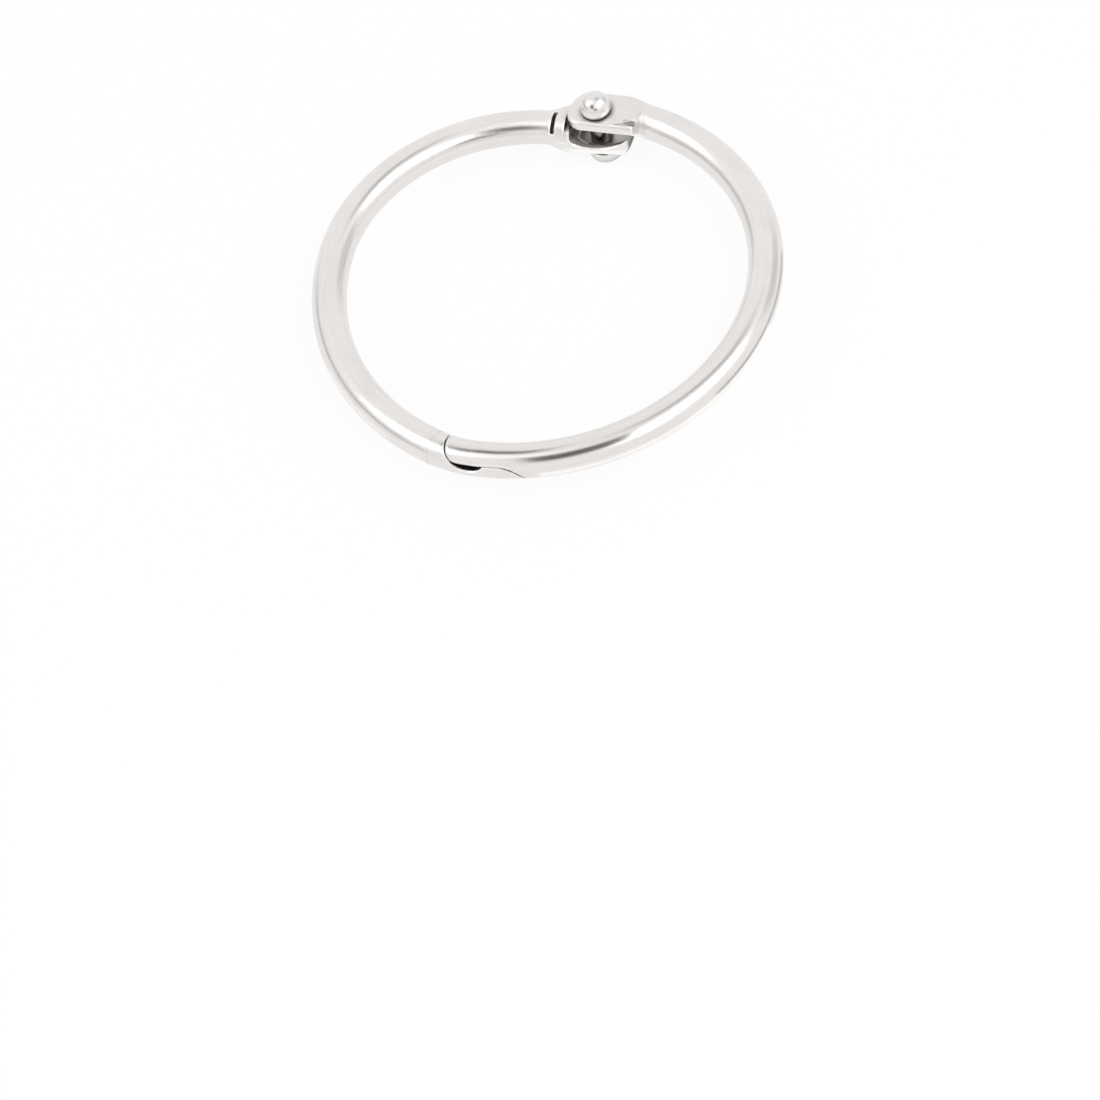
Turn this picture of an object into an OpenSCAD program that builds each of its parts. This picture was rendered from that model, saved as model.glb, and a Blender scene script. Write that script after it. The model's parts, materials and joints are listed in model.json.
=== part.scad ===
// Binder ring: two arms bent from round bar, hinged on one rivet and closed by a hooked latch.
// The origin is the middle of the opening, halfway up the bar. +Z runs up the rivet,
// the hinge is towards +Y and the latch towards -Y. The ring is modelled closed.

/* [Bar] */
// Diameter of the round bar that both arms are bent from
bar_d = 3.7; // [3.5:0.1:4]

/* [Ring outline] */
// From the middle of the opening to the rivet's axis, towards the hinge
hinge_y = 22.3; // [20:0.5:30]
// How far the rivet's axis lies off the middle, on the eye arm's side
hinge_x = 0.4; // [0:0.1:0.6]
// From the middle of the opening to the middle of the bar at the latch
latch_y = 23.7; // [20:0.5:30]
// How far outside the rivet's axis the eye arm's bar reaches the hinge
eye_arm_offset = 1.3; // [1:0.05:1.6]
// How far inside the rivet's axis the ear arm's bar reaches the hinge
ear_arm_offset = 1; // [0.6:0.1:1.3]
// Radius of the ear arm's first bend, next to the latch
latch_bend_r = 14.4; // [12:0.2:18]
// Degrees that the ear arm turns in its first bend
latch_bend_turn = 18; // [14:1:22]
// Degrees that the ear arm turns in its long side bend
side_bend_turn = 69; // [64:1:74]

/* [Eye] */
// Thickness of the flattened eye
eye_t = 1.3; // [1:0.1:1.6]
// Height of the eye's underside above the middle of the bar
eye_z = 1.15; // [1:0.05:1.3]
// From the rivet's axis to the eye's end
eye_back = 3.1; // [2.8:0.05:3.2]
// From the rivet's axis to the eye's outer edge
eye_outer = 2.6; // [2.2:0.1:2.8]
// From the rivet's axis to the eye's inner edge
eye_inner = 2.15; // [1.9:0.05:2.4]
// Round on the eye's top and bottom edges
eye_edge = 0.35; // [0.2:0.05:0.5]
// Round at the eye's inner corner beside the collar, seen from above
eye_corner = 1.6; // [1.2:0.1:1.8]
// From the rivet's axis to the full round bar of the eye arm
eye_neck = 4.65; // [4.6:0.05:5.4]
// From the rivet's axis to where the eye starts to narrow into the neck
eye_flat = 2.8; // [2.2:0.1:3]
// From the rivet's axis to the end of the eye's rim beside the neck
rim_end = 4.5; // [4:0.1:4.6]
// Width of that rim with the groove beside it
rim_w = 1.6; // [1.2:0.1:1.8]
// Width of the rim's lip, between the eye's inner edge and the groove
lip_w = 0.4; // [0.35:0.05:0.6]
// Radius of the groove pressed beside the neck, at its deep end
groove_r = 0.45; // [0.3:0.05:0.6]
// Length of that groove
groove_l = 2.1; // [1.6:0.1:2.8]

/* [Ear] */
// Width of the trough-shaped ear across the bar
ear_w = 4.3; // [4:0.1:4.6]
// Depth of the ear's underside below the middle of the bar
ear_depth = 2.75; // [2.4:0.05:3]
// Thickness of the ear's floor
ear_floor = 1; // [0.6:0.1:1.2]
// Thickness of the ear's side walls
ear_wall = 0.4; // [0.3:0.05:0.6]
// Width of the ear at its closed end, beside the collar
ear_back_w = 3.5; // [3.4:0.1:3.8]
// From the rivet's axis back to where the ear is widest and deepest
ear_belly = 1.9; // [1.5:0.1:2.2]
// From the rivet's axis to the ear's open end
ear_front = 3.75; // [3.5:0.05:3.9]
// Round of the ear's side walls at its open end, seen from above
ear_round = 0.6; // [0.4:0.1:1]
// Round of the ear's underside up to its open end
ear_rise = 2; // [1.6:0.1:2.2]
// Depth of the scooped walls' low point below the middle of the bar
ear_scoop = 1.1; // [0.8:0.05:1.3]
// Radius of the scoop across the ear's walls
scoop_r = 5.3; // [4.8:0.1:6]
// Radius with which the scoop turns up at the closed end of the trough
scoop_corner = 1; // [0.6:0.1:1.3]
// From the rivet's axis back to the closed end of the trough
trough_back = 2.7; // [2.4:0.05:2.8]
// How much deeper the ear is at its belly than at its open end
ear_bulge = 0.3; // [0.1:0.05:0.4]
// From the middle of the slit back to where the underside starts to flare down into the ear
flare_l = 0.7; // [0.5:0.05:1]
// Length of the collar between the slit and the ear
collar_l = 1.1; // [1:0.05:1.5]
// Width of the slit cut into the bar behind the ear
slit_w = 0.45; // [0.3:0.05:0.6]
// Depth of the slit below the bar's surface
slit_depth = 1.25; // [0.8:0.05:1.4]
// Radius of the disc that cuts the slit
slit_r = 1.6; // [1.4:0.1:2.2]
// Degrees that the slit leans from upright towards the inside of the ring
slit_lean = 18; // [10:1:25]

/* [Rivet] */
// Diameter of the rivet's shank in the eye and in the ear's floor
shank_d = 1.6; // [1.2:0.1:1.9]
// Diameter of the shoulder that holds the eye off the ear's floor
shoulder_d = 2.4; // [2.2:0.1:2.8]
// Radius of the domed head
dome_r = 1.66; // [1.5:0.02:1.8]
// Height of the dome's centre above the eye
dome_rise = 0.65; // [0.4:0.05:0.9]
// Radius of the formed tail
tail_r = 1.85; // [1.5:0.05:2]
// How far the tail was hammered off the shank's axis, towards the ear's open end
tail_shift = 0.2; // [0:0.05:0.3]
// Round on the tail's edge
tail_edge = 0.55; // [0.3:0.05:0.8]
// Height of the formed tail
tail_h = 1.45; // [1:0.05:1.6]
// How far the flat pressed into the ear's underside runs past the tail
seat_margin = 0.1; // [0.05:0.05:0.2]

/* [Latch] */
// From the middle of the latch to the end of the eye arm's hood
hood_end = 3.05; // [2.9:0.05:3.4]
// Height of the hood's underside above the middle of the bar
hood_z = 0.85; // [0.7:0.05:1]
// Radius of the hood's rounded end
hood_r = 1.5; // [1.2:0.1:1.8]
// From the middle of the latch to the crest of the tongue's head
crest_x = 2.8; // [2.4:0.1:3]
// Radius of the tongue's nose
nose_r = 2.75; // [2.5:0.05:3]
// Radius of the throat behind the tongue's head
throat_r = 2.4; // [2:0.1:2.6]
// Low point of the throat, along the bar from the middle of the latch
throat_x = -0.45; // [-0.8:0.05:-0.3]
// Height of the throat's low point above the middle of the bar
throat_z = 0.0; // [-0.2:0.05:0.2]
// How far the tongue reaches inwards from the middle of the bar
tongue_inner = 1.1; // [0.8:0.05:1.2]
// How far the tongue's waist reaches inwards from the middle of the bar
waist_inner = 0.15; // [0:0.05:0.4]
// Radius of the scoop that makes the waist
waist_r = 2.6; // [2:0.1:3]

/* [Fits] */
// Radial running clearance of the eye on the rivet
eye_clearance = 0.05; // [0.02:0.01:0.1]
// Play of the eye along the rivet, split over and under it
eye_play = 0.1; // [0.04:0.02:0.2]
// Gap that the eye's end keeps from the collar as it swings
swing_gap = 0.15; // [0.1:0.05:0.2]
// Vertical gap between the hood and the tongue's head
latch_gap = 0.05; // [0.03:0.01:0.1]
// Open seam between the hood's end and the shoulder, and before the nose
seam_gap = 0.2; // [0.1:0.05:0.3]
// Gap between the tongue's inner side and the hood's wall
flank_gap = 0.18; // [0.15:0.01:0.25]

/* [Hidden] */
$fn = 96;

slice = 0.02;                               // thickness of the slices that hulls join
lap = 0.02;                                 // overlap of pieces of one solid that meet end to end
thinned_d = bar_d - 0.04;                   // diameter of the bar in its tight bends
bar_r = bar_d / 2;
reach = 3 * bar_d;                          // larger than any section of the bar

// Eye arm: one arc that leaves the latch along X and meets the hinge's neck
neck_steps = 5;
neck_lap = 0.1;                             // how far the neck runs on inside the bar
arc_steps = 12;
neck_x = hinge_x + eye_neck;
neck_rise = latch_y + hinge_y + eye_arm_offset;
eye_arm_r = (neck_rise * neck_rise + neck_x * neck_x) / (2 * neck_rise);
eye_arm_turn = 180 - asin(neck_x / eye_arm_r);

// Ear arm: three tangent arcs, whose last two radii follow from where the arm ends
ear_back = eye_back + swing_gap;            // from the rivet's axis to the collar's face
collar_x = hinge_x - ear_back;
slit_x = collar_x - collar_l - slit_w / 2;
turn_1 = latch_bend_turn;
turn_2 = latch_bend_turn + side_bend_turn;
span_x = collar_x - collar_l + latch_bend_r * sin(turn_1);
span_y = latch_y + hinge_y - ear_arm_offset - latch_bend_r * (1 - cos(turn_1));
arcs_det = (sin(turn_2) - sin(turn_1)) * (1 + cos(turn_2)) + sin(turn_2) * (cos(turn_1) - cos(turn_2));
side_bend_r = (sin(turn_2) * span_y - (1 + cos(turn_2)) * span_x) / arcs_det;
hinge_bend_r = ((sin(turn_2) - sin(turn_1)) * span_y + (cos(turn_1) - cos(turn_2)) * span_x) / arcs_det;

// Ear: a trough whose walls stay under the eye
ear_top = eye_z - eye_play;
ear_corner = ear_w / 4;                     // round along the ear's lower edges
flare_x = slit_x - hinge_x - flare_l;       // where the flare leaves the bar, from the rivet's axis
flare_steps = 4;
ear_sweep = norm([ear_front - ear_round, ear_w / 2 - ear_round]) + ear_round + swing_gap;
trough_w = ear_w - 2 * ear_wall;
scoop_tilt = asin((trough_back - scoop_corner) / (scoop_r - scoop_corner));
scoop_corner_z = scoop_r - ear_scoop - (scoop_r - scoop_corner) * cos(scoop_tilt);

// Rivet: heights of its steps
eye_top = eye_z + eye_t;
floor_z = ear_floor - ear_depth;
shoulder_z = eye_z - eye_play / 2;
dome_z = eye_top + eye_play / 2;

// Latch
crest_z = hood_z - latch_gap;
tongue_reach = crest_x + nose_r;            // how far the tongue runs past the middle
hood_corner_x = hood_r - hood_end;
hood_corner_z = hood_z + hood_r;

// A bend of the bar to the left. It starts at the origin along +Y, and children follow its end.
// A tight bend draws the bar thinner by a hair, so each end face lies inside the next one.
// It starts a hair early, so that it overlaps the one before.
module bend(r, turn, d = bar_d) {
    early = turn_of(lap, r);
    translate([-r, 0, 0]) {
        rotate([0, 0, -early]) rotate_extrude(angle = turn + early) translate([r, 0]) circle(d = d);
        rotate([0, 0, turn]) translate([r, 0, 0]) children();
    }
}

// Places children at the middle of the latch, with +Y along the eye arm's bar
module from_latch() {
    translate([0, -latch_y, 0]) rotate([0, 0, -90]) children();
}

// Places children at the middle of the latch, with +Y along the ear arm's bar and left turned to right
module from_latch_mirrored() {
    mirror([1, 0, 0]) from_latch() children();
}

// Angle of a stretch of bar of the given length
function turn_of(length, r) = length / r * 180 / PI;

// Extrudes an outline drawn in X and Z across the bar at the latch
module across_latch() {
    translate([0, -latch_y, 0]) rotate([90, 0, 0]) linear_extrude(height = reach, center = true) children();
}

// Side outline of the hood: everything above its underside, with a rounded end
module hood_outline() {
    translate([hood_corner_x, hood_z]) square([reach, reach]);
    translate([-hood_end, hood_corner_z]) square([reach, reach]);
    translate([hood_corner_x, hood_corner_z]) circle(r = hood_r);
}

// Side outline of the tongue: shoulder, throat, crest and round nose
module tongue_outline() {
    difference() {
        union() {
            translate([-reach, -reach]) square([reach + crest_x, 2 * reach]);
            translate([crest_x, crest_z - nose_r]) circle(r = nose_r);
        }
        translate([-seam_gap, -latch_gap]) hood_outline();
        translate([throat_x, throat_z + throat_r]) circle(r = throat_r);
    }
}

// Side outline of the eye arm's end: the hood, and the full bar beyond the nose
module socket_outline() {
    difference() {
        union() {
            hood_outline();
            translate([crest_x + seam_gap, -reach]) square([2 * reach, 2 * reach]);
        }
        translate([crest_x + seam_gap, crest_z - nose_r]) circle(r = nose_r + latch_gap);
    }
}

// The block inside the ring from a given line inwards, past a given end
module inner_block(end, inner) {
    translate([-end, inner - latch_y, -reach]) cube([end + tongue_reach + seam_gap, reach, 2 * reach]);
}

// Cross-section of the ear, with its lower edges rounded
module ear_section(rise, width) {
    round_r = ear_corner;
    base = rise - ear_depth;
    for (side = [-1, 1]) translate([side * (width / 2 - round_r), base + round_r]) circle(r = round_r);
    translate([-width / 2, base + round_r]) square([width, ear_top - base - round_r]);
    translate([round_r - width / 2, base]) square([width - 2 * round_r, round_r]);
}

// A thin slice across the hinge, of a section drawn in Y and Z about the rivet's axis
module hinge_slice(x) {
    translate([hinge_x + x, hinge_y, 0]) rotate([90, 0, 90]) linear_extrude(height = slice) children();
}

// A rectangle drawn in Y and Z between two corners, with round corners of its own
module rounded_block(y1, z1, y2, z2, r) {
    for (y = [y1 + r, y2 - r]) for (z = [z1 + r, z2 - r]) translate([y, z]) circle(r = r);
    translate([y1 + r, z1]) square([y2 - y1 - 2 * r, z2 - z1]);
    translate([y1, z1 + r]) square([y2 - y1, z2 - z1 - 2 * r]);
}

// Ear arm: bent bar with the latch's tongue at one end and the slit, collar and ear at the other
module ear_arm() {
    color([0.72, 0.71, 0.69]) difference() {
        union() {
            from_latch_mirrored() bend(latch_bend_r, turn_1, thinned_d) bend(side_bend_r, side_bend_turn)
                bend(hinge_bend_r, 180 - turn_2, thinned_d) translate([0, -lap, 0]) rotate([-90, 0, 0])
                    cylinder(d = bar_d, h = collar_l + lap);
            from_latch() bend(eye_arm_r, turn_of(tongue_reach + seam_gap, eye_arm_r));
            ear_shell();
        }
        ear_hollow();
        slit();
        tongue_cut();
    }
}

// How far the ear's underside lies below the bar's, at a distance along the hinge before the belly
function flare_drop(x) =
    (ear_depth + ear_bulge - bar_r) * (1 - pow((x + ear_belly) / (flare_x + ear_belly), 2));

// Width of the ear there
function flare_width(x) = ear_w - (ear_w - ear_back_w) * pow((x + ear_belly) / (ear_belly - ear_back), 2);

// The ear's outer form: the underside flares down from the bar, and the open end is rounded
module ear_shell() {
    hull() {
        bar_slice(-ear_back, 0);
        for (step = [0 : flare_steps]) {
            bar_x = flare_x - (ear_back + flare_x) * step / flare_steps;
            ear_x = (ear_back - ear_belly) * step / flare_steps - ear_back;
            bar_slice(bar_x, flare_drop(bar_x));
            hinge_slice(ear_x)
                ear_section(ear_depth - bar_r - flare_drop(ear_x), flare_width(ear_x), $fn = 32);
        }
        for (turn = [0 : 15 : 90]) {
            inward = ear_rise * (1 - sin(turn));
            hinge_slice(ear_front - slice - inward)
                ear_section(ear_rise * (1 - cos(turn)), end_width(inward), $fn = 32);
        }
    }
}

// A thin slice across the end of the ear arm's bar, lowered by a given drop
module bar_slice(x, drop) {
    translate([hinge_x + x, hinge_y - ear_arm_offset, -drop]) rotate([0, 90, 0])
        cylinder(d = thinned_d - slice, h = slice, $fn = 48);
}

// Width of the ear at a distance from its rounded open end
function end_width(x) = ear_w - 2 * (ear_round - sqrt(pow(ear_round, 2) - pow(max(0, ear_round - x), 2)));

// What is cut from the ear: the trough, its scooped walls, the rivet's hole and the flat seat of its tail
module ear_hollow() {
    translate([hinge_x, hinge_y, 0]) {
        translate([trough_w / 2 - trough_back, 0, floor_z]) {
            cylinder(d = trough_w, h = reach);
            translate([0, -trough_w / 2, 0]) cube([reach, trough_w, reach]);
        }
        rotate([90, 0, 0]) linear_extrude(height = reach, center = true) scoop_outline();
        translate([-ear_back, -reach, ear_top]) cube([reach, 2 * reach, reach]);
        translate([0, 0, -reach]) cylinder(d = shank_d, h = 2 * reach);
        translate([tail_shift, 0, -ear_depth - reach]) cylinder(r = tail_r + seat_margin, h = reach);
    }
}

// Side outline of the scoop across the walls: an arc that turns up at the closed end of the trough
module scoop_outline() {
    translate([0, scoop_r - ear_scoop]) rotate(-scoop_tilt) {
        intersection() {
            circle(r = scoop_r);
            translate([0, -reach]) square(2 * reach);
        }
        translate([0, scoop_corner - scoop_r]) circle(r = scoop_corner);
    }
    translate([-trough_back, scoop_corner_z]) square(reach);
}

// The slit that a disc cuts into the top of the bar behind the collar
module slit() {
    translate([slit_x, hinge_y - ear_arm_offset, 0]) rotate([slit_lean, 0, 0])
        translate([0, 0, bar_r - slit_depth + slit_r]) rotate([0, 90, 0])
            cylinder(r = slit_r, h = slit_w, center = true);
}

// What is cut from the bar to leave the tongue
module tongue_cut() {
    difference() {
        translate([-hood_end - reach / 2, -latch_y - reach, -reach]) cube([2 * reach, 2 * reach, 2 * reach]);
        across_latch() tongue_outline();
    }
    inner_block(hood_end + seam_gap, tongue_inner);
    translate([throat_x, waist_r + waist_inner - latch_y, -reach]) cylinder(r = waist_r, h = 2 * reach);
}

// Eye arm: bent bar with the latch's hood at one end and the flattened eye at the other
module eye_arm() {
    color([0.74, 0.73, 0.71]) {
        difference() {
            union() {
                from_latch() bend(eye_arm_r, eye_arm_turn);
                from_latch_mirrored() bend(latch_bend_r, turn_of(hood_end, latch_bend_r), thinned_d);
            }
            socket_cut();
        }
        difference() {
            eye_form();
            translate([hinge_x, hinge_y, 0]) cylinder(d = shank_d + 2 * eye_clearance, h = reach);
            neck_groove();
        }
    }
}

// Points on an arc about a centre, from one angle to another
function arc(centre, r, from, to) = [
    for (step = [0 : arc_steps])
        let (turn = from + (to - from) * step / arc_steps) centre + r * [cos(turn), sin(turn)]
];

// One layer of the flattened eye, with its outline drawn in by an inset. The outline is round where it
// swings past the collar, and has a rounded corner on the inner side.
module eye_layer(inset) {
    linear_extrude(height = slice) polygon(concat(
        arc([0, 0], eye_back - inset, 180 - asin((eye_outer - inset) / (eye_back - inset)), 180),
        arc([eye_corner - eye_back, eye_corner - eye_inner], eye_corner - inset, 180, 270),
        [[eye_flat, inset - eye_inner], [eye_flat, eye_outer - inset]]));
}

// Extrudes a section drawn in Y and Z along the neck, between two distances from the rivet's axis
module along_neck(x1, x2) {
    translate([x1, 0, 0]) rotate([90, 0, 90]) linear_extrude(height = x2 - x1) children();
}

// The eye and its neck: the bar is pressed up and flat, with rounded edges and a rim along the inner side.
// It is hollowed below, so that it swings clear of the ear.
module eye_form() {
    difference() {
        hull() {
            translate([hinge_x, hinge_y, 0]) {
                for (turn = [0 : 22.5 : 90]) {
                    inset = eye_edge * (1 - cos(turn));
                    rise = eye_edge * (1 - sin(turn));
                    translate([0, 0, eye_z + rise]) eye_layer(inset);
                    translate([0, 0, eye_top - rise - slice]) eye_layer(inset);
                }
                for (step = [1 : neck_steps - 1]) neck_slice(step / neck_steps);
                along_neck(rim_end - slice, rim_end) rounded_block(
                    slice - eye_inner, eye_z, rim_w - eye_inner, eye_top - slice, eye_edge, $fn = 32);
            }
            from_latch() bend_end() translate([0, 0, neck_lap])
                cylinder(d = bar_d - neck_lap, h = slice, $fn = 32);
        }
        translate([hinge_x, hinge_y, eye_z - reach]) cylinder(r = ear_sweep, h = reach);
    }
}

// A slice of the neck, from the eye (0) towards the bar (1): its top leaves the eye level and rolls down
module neck_slice(share) {
    x = eye_flat + share * (eye_neck - eye_flat);
    roll = pow(share, 2);
    edge = eye_edge + roll * (bar_r - eye_edge);
    along_neck(x - slice, x) rounded_block(
        roll * (eye_arm_offset - bar_r) - (1 - roll) * eye_inner, (1 - roll) * eye_z - roll * bar_r,
        roll * (eye_arm_offset + bar_r) + (1 - roll) * eye_outer, (1 - roll) * eye_top + roll * bar_r,
        edge, $fn = 32);
}

// A groove pressed into the top of the neck, deep at the bar's end, whose inner side runs along the rim
module neck_groove() {
    translate([hinge_x + rim_end - groove_l, hinge_y - eye_inner + lip_w, eye_top])
        rotate([0, 90, atan(groove_r / groove_l)]) {
            cylinder(r1 = slice, r2 = groove_r, h = groove_l);
            translate([0, 0, groove_l]) sphere(r = groove_r);
        }
}

// Places children across the end of the eye arm's bar, with +Z back along it
module bend_end() {
    translate([-eye_arm_r, 0, 0]) rotate([0, 0, eye_arm_turn]) translate([eye_arm_r, 0, 0])
        rotate([90, 0, 0]) children();
}

// What is cut from the eye arm's bar to leave the hood and the socket for the tongue
module socket_cut() {
    difference() {
        across_latch() difference() {
            translate([-reach, -reach]) square([3 * reach, 2 * reach]);
            socket_outline();
        }
        inner_block(hood_end, tongue_inner + flank_gap);
    }
}

// Rivet: domed head, shank through the eye, shoulder on the ear's floor and formed tail
module rivet() {
    color([0.78, 0.77, 0.76]) translate([hinge_x, hinge_y, 0]) {
        intersection() {
            translate([0, 0, eye_top + dome_rise]) sphere(r = dome_r);
            translate([-reach, -reach, dome_z]) cube([2 * reach, 2 * reach, reach]);
        }
        translate([0, 0, -ear_depth]) cylinder(d = shank_d, h = ear_depth + eye_top + dome_rise);
        translate([0, 0, floor_z]) cylinder(d = shoulder_d, h = shoulder_z - floor_z);
        translate([tail_shift, 0, -ear_depth]) tail();
    }
}

// The tail: a flat button with a rounded edge
module tail() {
    translate([0, 0, -tail_h]) rotate_extrude() intersection() {
        union() {
            square([tail_r - tail_edge, tail_h]);
            translate([0, tail_edge]) square([tail_r, tail_h - tail_edge]);
            translate([tail_r - tail_edge, tail_edge]) circle(r = tail_edge);
        }
        square([tail_r, tail_h]);
    }
}

ear_arm();
eye_arm();
rivet();
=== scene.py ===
import json
import math

import bpy
import numpy as np
from bpy.props import FloatProperty, FloatVectorProperty, PointerProperty
from mathutils import Matrix, Vector


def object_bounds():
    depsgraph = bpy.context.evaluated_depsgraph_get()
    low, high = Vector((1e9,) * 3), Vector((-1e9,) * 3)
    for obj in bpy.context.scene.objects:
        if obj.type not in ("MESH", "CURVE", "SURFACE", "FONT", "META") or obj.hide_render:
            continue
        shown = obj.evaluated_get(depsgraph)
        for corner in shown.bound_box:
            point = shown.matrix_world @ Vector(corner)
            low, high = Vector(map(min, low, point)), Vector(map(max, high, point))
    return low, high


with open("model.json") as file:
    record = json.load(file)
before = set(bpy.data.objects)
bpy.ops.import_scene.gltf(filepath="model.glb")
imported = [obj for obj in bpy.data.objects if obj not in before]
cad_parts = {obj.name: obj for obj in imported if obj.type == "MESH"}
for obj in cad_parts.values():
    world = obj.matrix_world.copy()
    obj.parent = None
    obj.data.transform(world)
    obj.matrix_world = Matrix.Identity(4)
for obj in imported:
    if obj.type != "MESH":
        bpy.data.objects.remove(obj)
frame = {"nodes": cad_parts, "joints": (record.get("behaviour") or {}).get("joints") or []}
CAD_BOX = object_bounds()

bl_info = {
    "name": "Binder Ring",
    "version": (1, 0, 0),
    "blender": (4, 5, 0),
    "location": "View3D > Sidebar > Binder Ring",
    "description": "Plates a hinged binder ring and lights it on a white sweep",
    "category": "Object",
}

# Lengths here are in metres, and directions in degrees: azimuths in plan from +X, elevations above level

PICTURE = 1100         # width and height of the picture, in pixels
SENSOR = 36.0          # width of the camera's sensor, in millimetres
NEAR_CLIP = 0.01

# ---- finish of the metal

# Where the pressed finish has faded out, as a share of how far it is whole
PRESSED_FADE = 1.25
# Z of the normal where a face that leans towards the floor starts to get a painted highlight, and where the
# highlight is full
FLOOR_LEAN_HIGHLIGHT = (0.05, -0.15)
# Cosine between a face and its rounded normal where a painted highlight on an edge starts, and where it is
# full
BRIGHT_EDGE = (0.99, 0.93)
# Rays that a search for an edge or a recess sends out
SEARCH_RAYS = 8
# Searches for recesses, where shade is painted: share of the recess depth, and how open a place is where the
# painted shade starts and is full
RECESS_SEARCHES = (
    dict(share=0.45, open_end=0.95, closed_end=0.45),
    dict(share=1.6, open_end=0.7, closed_end=0.3),
)
# Places with cut edges, to which the painted highlights on edges and the painted shade in recesses are held:
# the hinge as far as the neck's end, and the latch
HIGHLIGHT_AND_SHADE_BOXES = (
    dict(low=(-0.0080, 0.0150, -0.0060), high=(0.00478, 0.0280, 0.0060), fade=0.0002),
    dict(low=(-0.00325, -0.0280, -0.0030), high=(0.0065, -0.0190, 0.0030), fade=0.0003),
)
# Places that get painted shade, each with how much of it: the groove beside the neck, and the trough
PAINTED_SHADE_BOXES = (
    (dict(low=(0.0038, 0.0210, 0.0020), high=(0.0049, 0.0213, 0.00232), fade=0.00022), 1.0),
    (dict(low=(-0.0024, 0.0205, -0.0016), high=(0.0046, 0.0242, 0.0010), fade=0.0003), 0.75),
)

# ---- studio

SWEEP_SIZE = 3.0
SWEEP_GAP = 0.00002    # from the ring's lowest point down to the sweep
PAPER_GRAIN = 0.01     # how much darker the grain of the paper is
PAPER_WHITE = 0.9      # share of the paper that is seen as plain white, so that only a faint shadow is left
FRAME_GAP = 0.01       # from a soft box's face back to its frame
FRAME_WIDTH = 0.13     # how much wider than the lamp the frame is
FRAME_TONE = 0.55
BAND_STEPS = 25

SOFT_BOXES = (
    dict(name="left_soft_box", azimuth=-156, elevation=46, distance=0.8, width=0.44, height=0.46),
    dict(name="right_soft_box", azimuth=-16, elevation=44, distance=0.8, width=0.95, height=0.5),
)
# Cards that only reflections show, each for one soft line along the bar
CARDS = (
    dict(name="ceiling_card", azimuth=55, elevation=68, distance=0.6, width=0.16, height=0.3, tone=0.45),
    dict(name="low_left_card", azimuth=-170, elevation=9, distance=0.6, width=0.84, height=0.12, tone=0.5),
    dict(name="low_right_card", azimuth=46, elevation=14, distance=0.6, width=0.32, height=0.32, tone=0.72),
)
# Dark flags that hang close to the ring, so that each shows in one arm only
FLAGS = (
    dict(name="latch_flag", start=(0.0105, -0.0225, 0.0014), azimuth=-63, elevation=51.8,
         distance=0.0284, width=0.0285, height=0.017),
    dict(name="hinge_flag", start=(-0.0077, 0.0196, 0.0013), azimuth=-88.6, elevation=43.3,
         distance=0.049, width=0.0168, height=0.023),
)
LATCH_GLINT = dict(name="latch_glint", start=(0.0028, -0.0243, 0.0017), azimuth=-131, elevation=71,
                   distance=0.6, width=0.25, height=0.23, tone=1.3)
# Bands on the sweep that only reflections show, between two radii from the ring's middle
FLOOR_BANDS = (
    dict(name="floor_reflector", inner=0.0255, outer=0.0293, start=-75, end=2, tone=1.25),
    dict(name="left_reflector", inner=0.0262, outer=0.0345, start=-152, end=-122, tone=1.12),
    dict(name="inner_reflector", inner=0.013, outer=0.0205, start=-80, end=75, tone=0.98),
    dict(name="far_reflector", inner=0.003, outer=0.0128, start=80, end=175, tone=1.05),
    dict(name="floor_shade", inner=0.0307, outer=0.0338, start=-22, end=28, tone=0.3),
)


# ---------------------------------------------------------------- settings


class PlatingSettings(bpy.types.PropertyGroup):
    """Finish of the two arms, which are nickel plated after forming."""

    colour: FloatVectorProperty(
        name="Plate colour", description="Colour of clean nickel plate",
        subtype="COLOR", size=3, min=0, max=1, default=(0.85, 0.82, 0.80))
    dull_colour: FloatVectorProperty(
        name="Dull colour", description="Colour of the plate where handling has dulled it",
        subtype="COLOR", size=3, min=0, max=1, default=(0.62, 0.605, 0.595))
    # Painted shade: the colour that recesses, the groove and the trough are darkened to
    recess_shade_colour: FloatVectorProperty(
        name="Recess shade colour", description="Colour of the plate in recesses that polishing doesn't reach",
        subtype="COLOR", size=3, min=0, max=1, default=(0.27, 0.26, 0.25))
    # Painted highlight: the colour that edges and pressed faces leaning towards the floor are lightened to
    edge_highlight_colour: FloatVectorProperty(
        name="Edge highlight colour", description="Colour of the edges that tumbling has polished",
        subtype="COLOR", size=3, min=0, max=1, default=(0.98, 0.97, 0.96))
    roughness: FloatProperty(
        name="Roughness", description="Roughness of the brightest plate",
        subtype="FACTOR", min=0.02, max=1, default=0.2)
    satin: FloatProperty(
        name="Satin", description="Roughness that the drawing lines and dull patches add",
        subtype="FACTOR", min=0, max=0.6, default=0.12)
    pressed_roughness: FloatProperty(
        name="Pressed roughness", description="Roughness of the faces that the press has flattened",
        subtype="FACTOR", min=0.02, max=1, default=0.38)
    edge_roughness: FloatProperty(
        name="Edge roughness", description="Roughness of the polished edges",
        subtype="FACTOR", min=0.02, max=1, default=0.14)
    pressed_reach: FloatProperty(
        name="Pressed reach", description="How far from the hinge's point the pressed finish is whole",
        min=0, max=0.02, default=0.0048, unit="LENGTH", precision=4)
    relief: FloatProperty(
        name="Relief", description="Depth of the drawing lines and grain",
        min=0, max=0.00001, default=0.0000008, unit="LENGTH", precision=7)
    edge: FloatProperty(
        name="Edge", description="Radius of the tumbled round on sharp edges",
        min=0, max=0.0005, default=0.00045, unit="LENGTH", precision=5)
    recess_depth: FloatProperty(
        name="Recess depth", description="How wide a slot or corner still counts as a recess",
        min=0, max=0.005, default=0.0014, unit="LENGTH", precision=4)


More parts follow.
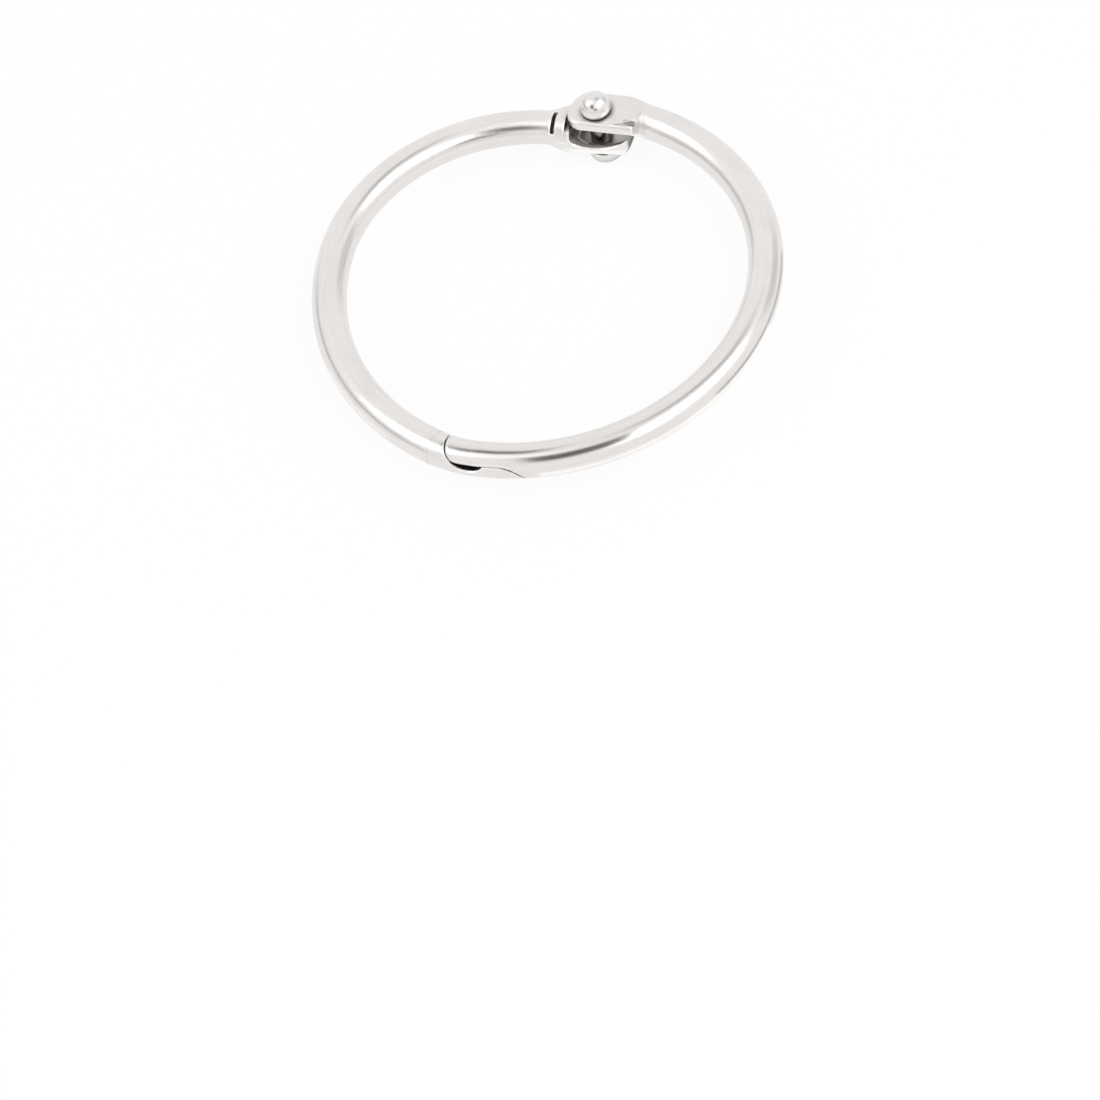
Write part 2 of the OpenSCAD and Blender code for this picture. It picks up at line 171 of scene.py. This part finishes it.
class RivetSettings(bpy.types.PropertyGroup):
    """Finish of the rivet, whose dome is polished brighter than the arms."""

    colour: FloatVectorProperty(
        name="Rivet colour", description="Colour of the rivet's plate",
        subtype="COLOR", size=3, min=0, max=1, default=(0.83, 0.815, 0.80))
    roughness: FloatProperty(
        name="Roughness", description="Roughness of the dome",
        subtype="FACTOR", min=0.02, max=1, default=0.19)
    satin: FloatProperty(
        name="Satin", description="Roughness that fine lines and dull patches add to the dome",
        subtype="FACTOR", min=0, max=0.6, default=0.06)


class CameraSettings(bpy.types.PropertyGroup):
    """Where the camera stands."""

    elevation: FloatProperty(
        name="Elevation", description="Height of the view above the ring's plane",
        subtype="ANGLE", default=math.radians(51.4))
    azimuth: FloatProperty(
        name="Azimuth", description="Direction of the camera in plan, from +X",
        subtype="ANGLE", default=math.radians(-62.04))
    roll: FloatProperty(
        name="Roll", description="Turn of the camera about its own line of sight",
        subtype="ANGLE", default=math.radians(-15.02))
    distance: FloatProperty(
        name="Distance", description="From the lens to the middle of the ring, along the view",
        unit="LENGTH", default=0.5356)
    lens: FloatProperty(
        name="Lens", description="Focal length in millimetres on a 36 mm sensor",
        unit="CAMERA", default=167.0)
    ring_x: FloatProperty(
        name="Ring across", description="Place of the ring's middle across the picture, in pixels",
        subtype="PIXEL", default=539.3)
    ring_y: FloatProperty(
        name="Ring down", description="Place of the ring's middle down the picture, in pixels",
        subtype="PIXEL", default=282.7)


class StudioSettings(bpy.types.PropertyGroup):
    """Lamps, sweep and flags."""

    fill: FloatProperty(
        name="Fill", description="Brightness of the tent round the ring, as it lights the scene",
        min=0, max=2, default=0.75)
    lamp: FloatProperty(
        name="Lamp", description="Radiance of the soft boxes, where 1 is white",
        min=0, max=10, default=1.85)
    flag: FloatProperty(
        name="Flag", description="Tone of the dark flags beside the camera",
        subtype="FACTOR", min=0, max=1, default=0.02)
    floor_tone: FloatProperty(
        name="Floor tone", description="How white the sweep is",
        subtype="FACTOR", min=0, max=1, default=0.93)


class BinderRingSettings(bpy.types.PropertyGroup):
    """All settings of the binder ring."""

    plating: PointerProperty(type=PlatingSettings)
    rivet: PointerProperty(type=RivetSettings)
    camera: PointerProperty(type=CameraSettings)
    studio: PointerProperty(type=StudioSettings)


# ---------------------------------------------------------------- node helpers


def feed(tree, socket, value):
    """Links a socket to an output, or sets it to a plain value."""
    if isinstance(value, bpy.types.NodeSocket):
        tree.links.new(value, socket)
    else:
        socket.default_value = value


def feed_by_name(tree, node, inputs):
    """Feeds the sockets of a node by name, with spaces written as underscores, and returns the node."""
    for key, value in inputs.items():
        feed(tree, node.inputs[key.replace("_", " ")], value)
    return node


def new_node(tree, kind, **inputs):
    """Adds a node and feeds its sockets by name."""
    return feed_by_name(tree, tree.nodes.new(kind), inputs)


def math_node(tree, operation, first, second):
    """Adds a Math node and returns its output."""
    node = tree.nodes.new("ShaderNodeMath")
    node.operation = operation
    feed(tree, node.inputs[0], first)
    feed(tree, node.inputs[1], second)
    return node.outputs[0]


def vector_node(tree, operation, first, second=None):
    """Adds a Vector Math node and returns its vector, or its value where the operation measures."""
    node = tree.nodes.new("ShaderNodeVectorMath")
    node.operation = operation
    feed(tree, node.inputs[0], first)
    if second is not None:
        feed(tree, node.inputs[1], second)
    return node.outputs["Value" if operation in ("LENGTH", "DISTANCE", "DOT_PRODUCT") else "Vector"]


def map_range(tree, value, start, end, low=0.0, high=1.0, smooth=False):
    """Maps a value from start..end to low..high, held at both ends, and returns the output."""
    node = new_node(tree, "ShaderNodeMapRange", Value=value, From_Min=start, From_Max=end,
                    To_Min=low, To_Max=high)
    if smooth:
        node.interpolation_type = "SMOOTHSTEP"
    return node.outputs["Result"]


def blend_colours(tree, mask, first, second):
    """Mixes two colours, each four numbers or an output, by a mask and returns the output."""
    node = tree.nodes.new("ShaderNodeMix")
    node.data_type = "RGBA"
    return feed_by_name(tree, node, dict(Factor=mask, A=first, B=second)).outputs["Result"]


def solid(colour):
    """A setting's colour as a colour socket takes it, with full cover."""
    return (*colour, 1)


def object_place(tree):
    """The place on the piece, in its own coordinates."""
    return tree.nodes.new("ShaderNodeTexCoord").outputs["Object"]


def noise(tree, place, scale, detail, roughness=0.5):
    """Noise at a place, as a value from 0 to 1."""
    return new_node(tree, "ShaderNodeTexNoise", Vector=place, Scale=scale, Detail=detail,
                    Roughness=roughness).outputs[0]


def new_group(name, inputs, outputs):
    """Starts a node group with sockets of a name and kind each, and returns it with its two end nodes."""
    group = bpy.data.node_groups.new(name, "ShaderNodeTree")
    for way, sockets in (("INPUT", inputs), ("OUTPUT", outputs)):
        for label, kind in sockets.items():
            group.interface.new_socket(label, in_out=way, socket_type="NodeSocket" + kind)
    return group, group.nodes.new("NodeGroupInput"), group.nodes.new("NodeGroupOutput")


def add_group(tree, group, **inputs):
    """Places a node group in a material and sets its sockets by name."""
    node = tree.nodes.new("ShaderNodeGroup")
    node.node_tree = group
    return feed_by_name(tree, node, inputs)


# ---------------------------------------------------------------- shared effects


def drawn_metal_group():
    """Lines that drawing leaves along round bar bent into a ring, with fine grain and soft dull patches."""
    name = "Drawn metal"
    if name in bpy.data.node_groups:
        return bpy.data.node_groups[name]
    group, source, result = new_group(
        name, dict.fromkeys(("Line density", "Line length", "Grain density", "Patch density"), "Float"),
        dict.fromkeys(("Lines", "Grain", "Patches"), "Float"))
    place = object_place(group)
    parts = new_node(group, "ShaderNodeSeparateXYZ", Vector=place)
    radius = vector_node(group, "LENGTH", vector_node(group, "MULTIPLY", place, (1, 1, 0)))
    turn = math_node(group, "ARCTAN2", parts.outputs["Y"], parts.outputs["X"])
    density = source.outputs["Line density"]
    curved = new_node(group, "ShaderNodeCombineXYZ",
                      X=math_node(group, "MULTIPLY", radius, density),
                      Y=math_node(group, "MULTIPLY", parts.outputs["Z"], density),
                      Z=math_node(group, "MULTIPLY", turn, source.outputs["Line length"]))
    feed_by_name(group, result, dict(
        Lines=noise(group, curved.outputs[0], scale=1.0, detail=2.0, roughness=0.6),
        Grain=noise(group, place, scale=source.outputs["Grain density"], detail=2.0, roughness=0.55),
        Patches=noise(group, place, scale=source.outputs["Patch density"], detail=3.0)))
    return group


def tumbled_edges_and_light_masks_group():
    """A normal that rounds sharp edges, a mask of those edges where a highlight is painted, and a mask of
    the recesses between faces where shade is painted.
    """
    name = "Tumbled edges"
    if name in bpy.data.node_groups:
        return bpy.data.node_groups[name]
    group, source, result = new_group(name, dict(Radius="Float", Reach="Float"),
                                      dict(Normal="Vector", Edge="Float", Recess="Float"))
    rounded = new_node(group, "ShaderNodeBevel", Radius=source.outputs["Radius"])
    rounded.samples = SEARCH_RAYS
    face = group.nodes.new("ShaderNodeNewGeometry")
    turned = vector_node(group, "DOT_PRODUCT", rounded.outputs[0], face.outputs["Normal"])
    depths = []
    for search in RECESS_SEARCHES:
        reach = math_node(group, "MULTIPLY", source.outputs["Reach"], search["share"])
        openness = new_node(group, "ShaderNodeAmbientOcclusion", Distance=reach)
        openness.samples = SEARCH_RAYS
        depths.append(map_range(group, openness.outputs["AO"], search["open_end"], search["closed_end"]))
    feed_by_name(group, result, dict(
        Normal=rounded.outputs[0],
        Edge=map_range(group, turned, *BRIGHT_EDGE),
        Recess=math_node(group, "MAXIMUM", *depths)))
    return group


def box_mask(tree, place, low, high, fade):
    """1 inside a box between two corners, falling to 0 at a distance of fade outside it."""
    nearest = vector_node(tree, "MAXIMUM", vector_node(tree, "MINIMUM", place, high), low)
    return map_range(tree, vector_node(tree, "DISTANCE", place, nearest), fade, 0.0, smooth=True)


def tooling_and_painted_light_group():
    """Masks of the places that the tools have touched, and of the places where light and shade are painted.

    Pressed: flat faces near the hinge's point. Of those, the faces that lean towards the floor get a painted
    highlight. The hinge and the latch, which have cut edges, are where highlights on edges and shade in
    recesses are painted. The groove and the trough get painted shade.
    """
    name = "Worked places"
    if name in bpy.data.node_groups:
        return bpy.data.node_groups[name]
    group, source, result = new_group(
        name, dict(Hinge="Vector", Reach="Float"),
        dict.fromkeys(("Pressed", "Burnished", "Worked", "Residue"), "Float"))
    place = object_place(group)
    reach = source.outputs["Reach"]
    pressed = map_range(group, vector_node(group, "DISTANCE", place, source.outputs["Hinge"]),
                        math_node(group, "MULTIPLY", reach, PRESSED_FADE), reach, smooth=True)
    normal = group.nodes.new("ShaderNodeTexCoord").outputs["Normal"]
    lean = new_node(group, "ShaderNodeSeparateXYZ", Vector=normal).outputs["Z"]
    painted_light_zone = [box_mask(group, place, **box) for box in HIGHLIGHT_AND_SHADE_BOXES]
    # Painted shade in the groove beside the neck and in the trough
    painted_shade = [math_node(group, "MULTIPLY", box_mask(group, place, **box), share)
               for box, share in PAINTED_SHADE_BOXES]
    feed_by_name(group, result, dict(
        Pressed=pressed,
        # Painted highlight on pressed faces that lean towards the floor
        Burnished=math_node(group, "MULTIPLY", pressed, map_range(group, lean, *FLOOR_LEAN_HIGHLIGHT)),
        Worked=math_node(group, "MAXIMUM", *painted_light_zone),
        Residue=math_node(group, "MAXIMUM", *painted_shade)))
    return group


# ---------------------------------------------------------------- metal


def hinge_point():
    """A point on the rivet's axis, from the frame's joint."""
    return tuple(frame["joints"][0]["pos_m"])


def plate_colour(tree, plating, colour, drawn, bright, recess):
    """Clean plate that is dull in patches along its lines, with a painted highlight at edges and painted
    shade in recesses.
    """
    dulled = math_node(tree, "MULTIPLY", drawn.outputs["Patches"], drawn.outputs["Lines"])
    clean = blend_colours(tree, dulled, solid(colour), solid(plating.dull_colour))
    polished = blend_colours(tree, bright, clean, solid(plating.edge_highlight_colour))
    return blend_colours(tree, recess, polished, solid(plating.recess_shade_colour))


def plate_roughness(tree, roughness, satin, extra, edge_roughness, drawn, bright):
    """Rougher along the lines and dull patches and by what extra adds, and that of an edge where bright."""
    marks = math_node(tree, "ADD", drawn.outputs["Lines"], drawn.outputs["Patches"])
    worn = math_node(tree, "MULTIPLY", marks, 0.5)
    bar = map_range(tree, worn, 0.0, 1.0, roughness - satin / 4, roughness + satin)
    face = math_node(tree, "ADD", bar, extra)
    excess = math_node(tree, "SUBTRACT", face, edge_roughness)
    return math_node(tree, "SUBTRACT", face, math_node(tree, "MULTIPLY", excess, bright))


def metal_material(name, plating, colour, roughness, satin, pressed_roughness):
    """Plated metal whose colour, roughness and height follow how the bar was drawn, pressed and worn, with
    highlights and shade painted into its colour.
    """
    material = bpy.data.materials.new(name)
    material.use_nodes = True
    tree = material.node_tree
    shader = tree.nodes["Principled BSDF"]
    shader.inputs["Metallic"].default_value = 1.0
    drawn = add_group(tree, drawn_metal_group(), Line_density=5500.0, Line_length=4.0,
                      Grain_density=3000.0, Patch_density=180.0)
    edges = add_group(tree, tumbled_edges_and_light_masks_group(), Radius=plating.edge, Reach=plating.recess_depth)
    places = add_group(tree, tooling_and_painted_light_group(), Hinge=hinge_point(), Reach=plating.pressed_reach)
    painted_light_zone = places.outputs["Worked"]
    # Painted highlight: edges at the hinge and the latch, and pressed faces that lean towards the floor
    bright = math_node(tree, "MAXIMUM", math_node(tree, "MULTIPLY", edges.outputs["Edge"], painted_light_zone),
                       places.outputs["Burnished"])
    # Painted shade: recesses at the hinge and the latch, found by occlusion, and the groove and the trough
    recess = math_node(tree, "MAXIMUM", math_node(tree, "MULTIPLY", edges.outputs["Recess"], painted_light_zone),
                       places.outputs["Residue"])
    extra = math_node(tree, "MULTIPLY", places.outputs["Pressed"], pressed_roughness - roughness)
    height = math_node(tree, "ADD", drawn.outputs["Lines"], drawn.outputs["Grain"])
    bump = new_node(tree, "ShaderNodeBump", Strength=1.0, Distance=plating.relief, Height=height,
                    Normal=edges.outputs["Normal"])
    feed_by_name(tree, shader, dict(
        Base_Color=plate_colour(tree, plating, colour, drawn, bright, recess),
        Roughness=plate_roughness(tree, roughness, satin, extra, plating.edge_roughness, drawn, bright),
        Normal=bump.outputs[0]))
    return material


def dress(node, material):
    """Gives a node of the frame its finish, in each of the node's material slots."""
    piece = frame["nodes"][node]
    if not piece.material_slots:
        raise RuntimeError(node + " has no material slot to dress")
    for place in piece.material_slots:
        place.material = material


# ---------------------------------------------------------------- stage


def direction(azimuth, elevation):
    """Unit vector towards an azimuth and an elevation, both in radians."""
    level = math.cos(elevation)
    return Vector((level * math.cos(azimuth), level * math.sin(azimuth), math.sin(elevation)))


def studio_direction(azimuth, elevation):
    """Unit vector towards an azimuth and an elevation, both in degrees."""
    return direction(math.radians(azimuth), math.radians(elevation))


def stage_piece(name, points):
    """Adds a piece of the studio, whose points are a grid of rows and columns with a face in each cell."""
    rows, columns = points.shape[:2]
    number = np.arange(rows * columns).reshape(rows, columns)
    faces = np.stack((number[:-1, :-1], number[:-1, 1:], number[1:, 1:], number[1:, :-1]), axis=-1)
    mesh = bpy.data.meshes.new(name)
    mesh.from_pydata(points.reshape(-1, 3).tolist(), [], faces.reshape(-1, 4).tolist())
    piece = bpy.data.objects.new(name, mesh)
    bpy.context.scene.collection.objects.link(piece)
    return piece


def card(name, centre, facing, width, height):
    """A flat rectangle whose middle is at centre and whose face looks along facing.

    For u and v from -1/2 to 1/2, point = centre + turn (u width, v height, 0), and turn takes +Z to facing
    """
    u, v = np.meshgrid((-0.5, 0.5), (-0.5, 0.5))
    flat = np.stack((u * width, v * height, np.zeros_like(u)), axis=-1)
    turn = np.array(Vector(facing).to_track_quat("Z", "Y").to_matrix())
    return stage_piece(name, flat @ turn.T + np.array(centre))


def show_in_reflections(piece, tone):
    """Gives a piece of the studio an even tone and hides it from all but glossy rays."""
    material = bpy.data.materials.new(piece.name)
    material.use_nodes = True
    tree = material.node_tree
    tree.nodes.clear()
    light = new_node(tree, "ShaderNodeEmission", Color=(tone, tone, tone, 1), Strength=1.0)
    new_node(tree, "ShaderNodeOutputMaterial", Surface=light.outputs[0])
    piece.data.materials.append(material)
    piece.visible_camera = False
    piece.visible_diffuse = False
    piece.visible_shadow = False
    piece.visible_transmission = False


def tone_card(name, azimuth, elevation, distance, width, height, tone, start=(0, 0, 0)):
    """A card of even tone that only reflections show, at a distance from a start and turned to it."""
    towards = studio_direction(azimuth, elevation)
    piece = card(name, Vector(start) + towards * distance, -towards, width, height)
    show_in_reflections(piece, tone)


def floor_band(name, inner, outer, start, end, tone):
    """A sector of a flat ring that lies on the sweep and that only reflections show.

    For u and v from 0 to 1, r = inner + (outer - inner) u, a = start + (end - start) v,
    x = r cos a, y = r sin a, z = lowest point of the ring
    """
    u, v = np.meshgrid(np.linspace(0, 1, 2), np.linspace(0, 1, BAND_STEPS))
    r = inner + (outer - inner) * u
    a = np.radians(start + (end - start) * v)
    points = np.stack((r * np.cos(a), r * np.sin(a), np.full_like(r, CAD_BOX[0].z)), axis=-1)
    show_in_reflections(stage_piece(name, points), tone)


def area_lamp(name, azimuth, elevation, distance, width, height, power):
    """A lamp that looks at the ring's middle from a direction."""
    lamp = bpy.data.lights.new(name, "AREA")
    lamp.shape = "RECTANGLE"
    lamp.size = width
    lamp.size_y = height
    lamp.energy = power
    piece = bpy.data.objects.new(name, lamp)
    towards = studio_direction(azimuth, elevation)
    piece.location = towards * distance
    piece.rotation_euler = towards.to_track_quat("Z", "Y").to_euler()
    bpy.context.scene.collection.objects.link(piece)


def soft_box(name, azimuth, elevation, distance, width, height, radiance):
    """A lamp of even radiance in a darker frame, which draws the thin dark line round its reflection."""
    area_lamp(name, azimuth, elevation, distance, width, height, radiance * math.pi * width * height)
    tone_card(name + "_frame", azimuth, elevation, distance + FRAME_GAP, width + FRAME_WIDTH,
              height + FRAME_WIDTH, FRAME_TONE)


def seen_directly(tree):
    """1 for camera, glossy and transmission rays, and 0 for the rays that light the scene."""
    path = tree.nodes.new("ShaderNodeLightPath")
    seen = math_node(tree, "MAXIMUM", path.outputs["Is Camera Ray"], path.outputs["Is Glossy Ray"])
    return math_node(tree, "MAXIMUM", seen, path.outputs["Is Transmission Ray"])


def mix_shaders(tree, mask, first, second):
    """Mixes two shaders by a mask and returns the output."""
    mix = new_node(tree, "ShaderNodeMixShader", Fac=mask)
    feed(tree, mix.inputs[1], first.outputs[0])
    feed(tree, mix.inputs[2], second.outputs[0])
    return mix.outputs[0]


def tent_world(fill):
    """White to the eye and in reflections, and a softer even light on the scene."""
    world = bpy.data.worlds.new("Tent")
    world.use_nodes = True
    tree = world.node_tree
    tree.nodes.clear()
    lit = new_node(tree, "ShaderNodeBackground", Color=(1, 1, 1, 1), Strength=fill)
    shown = new_node(tree, "ShaderNodeBackground", Color=(1, 1, 1, 1), Strength=1.0)
    new_node(tree, "ShaderNodeOutputWorld", Surface=mix_shaders(tree, seen_directly(tree), lit, shown))
    bpy.context.scene.world = world


def sweep_material(tone):
    """White paper with a fine grain, most of whose light to the eye is its own plain white."""
    material = bpy.data.materials.new("White paper")
    material.use_nodes = True
    tree = material.node_tree
    grain = noise(tree, object_place(tree), scale=900.0, detail=2.0)
    dark = tone - PAPER_GRAIN
    paper = feed_by_name(tree, tree.nodes["Principled BSDF"], dict(
        Base_Color=blend_colours(tree, grain, (tone, tone, tone, 1), (dark, dark, dark, 1)),
        Roughness=0.9, Specular_IOR_Level=0.0))
    white = new_node(tree, "ShaderNodeEmission", Color=(1, 1, 1, 1), Strength=1.0)
    share = math_node(tree, "MULTIPLY", seen_directly(tree), PAPER_WHITE)
    feed(tree, tree.nodes["Material Output"].inputs["Surface"], mix_shaders(tree, share, paper, white))
    return material


def place_camera(camera):
    """Stands on the given line of sight, turned so that the ring's middle falls on its pixel."""
    look = -direction(camera.azimuth, camera.elevation)
    level = look.cross(Vector((0, 0, 1))).normalized()
    down = look.cross(level)
    roll = camera.roll
    right = level * math.cos(roll) - down * math.sin(roll)
    down = level * math.sin(roll) + down * math.cos(roll)
    pixel = SENSOR * camera.distance / (camera.lens * PICTURE)
    across = (camera.ring_x - PICTURE / 2) * pixel
    below = (camera.ring_y - PICTURE / 2) * pixel
    data = bpy.data.cameras.new("Camera")
    data.sensor_width = SENSOR
    data.lens = camera.lens
    data.clip_start = NEAR_CLIP
    piece = bpy.data.objects.new("Camera", data)
    turn = Matrix((right, -down, -look)).transposed().to_4x4()
    place = -(right * across + down * below + look * camera.distance)
    piece.matrix_world = Matrix.Translation(place) @ turn
    bpy.context.scene.collection.objects.link(piece)
    bpy.context.scene.camera = piece


# ---------------------------------------------------------------- operators


class RING_OT_arms(bpy.types.Operator):
    """Plate the two arms with satin nickel"""

    bl_idname = "binder_ring.arms"
    bl_label = "Arms"

    def execute(self, context):
        plating = context.scene.binder_ring.plating
        for node in ("ear_arm", "eye_arm"):
            material = metal_material("Satin nickel " + node, plating, plating.colour, plating.roughness,
                                      plating.satin, plating.pressed_roughness)
            dress(node, material)
        return {"FINISHED"}


class RING_OT_rivet(bpy.types.Operator):
    """Plate the rivet with polished nickel"""

    bl_idname = "binder_ring.rivet"
    bl_label = "Rivet"

    def execute(self, context):
        settings = context.scene.binder_ring
        rivet = settings.rivet
        material = metal_material("Polished nickel", settings.plating, rivet.colour, rivet.roughness,
                                  rivet.satin, rivet.roughness)
        dress("rivet", material)
        return {"FINISHED"}


class RING_OT_stage(bpy.types.Operator):
    """Lay the white sweep, hang the lamps and cards, and stand the camera"""

    bl_idname = "binder_ring.stage"
    bl_label = "Stage"

    def execute(self, context):
        settings = context.scene.binder_ring
        studio = settings.studio
        context.scene.view_settings.view_transform = "Standard"
        floor = card("sweep", (0, 0, CAD_BOX[0].z - SWEEP_GAP), (0, 0, 1), SWEEP_SIZE, SWEEP_SIZE)
        floor.data.materials.append(sweep_material(studio.floor_tone))
        tent_world(studio.fill)
        for box in SOFT_BOXES:
            soft_box(radiance=studio.lamp, **box)
        for values in CARDS:
            tone_card(**values)
        for flag in FLAGS:
            tone_card(tone=studio.flag, **flag)
        tone_card(**LATCH_GLINT)
        for band in FLOOR_BANDS:
            floor_band(**band)
        place_camera(settings.camera)
        return {"FINISHED"}


class RING_PT_panel(bpy.types.Panel):
    """Lists the steps that make the ring"""

    bl_label = "Binder Ring"
    bl_idname = "RING_PT_panel"
    bl_space_type = "VIEW_3D"
    bl_region_type = "UI"
    bl_category = "Binder Ring"

    def draw(self, context):
        for step in STEPS:
            self.layout.operator(step.bl_idname)


STEPS = (RING_OT_stage, RING_OT_arms, RING_OT_rivet)
CLASSES = (PlatingSettings, RivetSettings, CameraSettings, StudioSettings, BinderRingSettings,
           *STEPS, RING_PT_panel)


def register():
    for kind in CLASSES:
        bpy.utils.register_class(kind)
    bpy.types.Scene.binder_ring = PointerProperty(type=BinderRingSettings)


def unregister():
    del bpy.types.Scene.binder_ring
    for kind in reversed(CLASSES):
        bpy.utils.unregister_class(kind)


def main():
    register()
    bpy.ops.binder_ring.stage()
    bpy.ops.binder_ring.arms()
    bpy.ops.binder_ring.rivet()


if __name__ == "__main__":
    main()
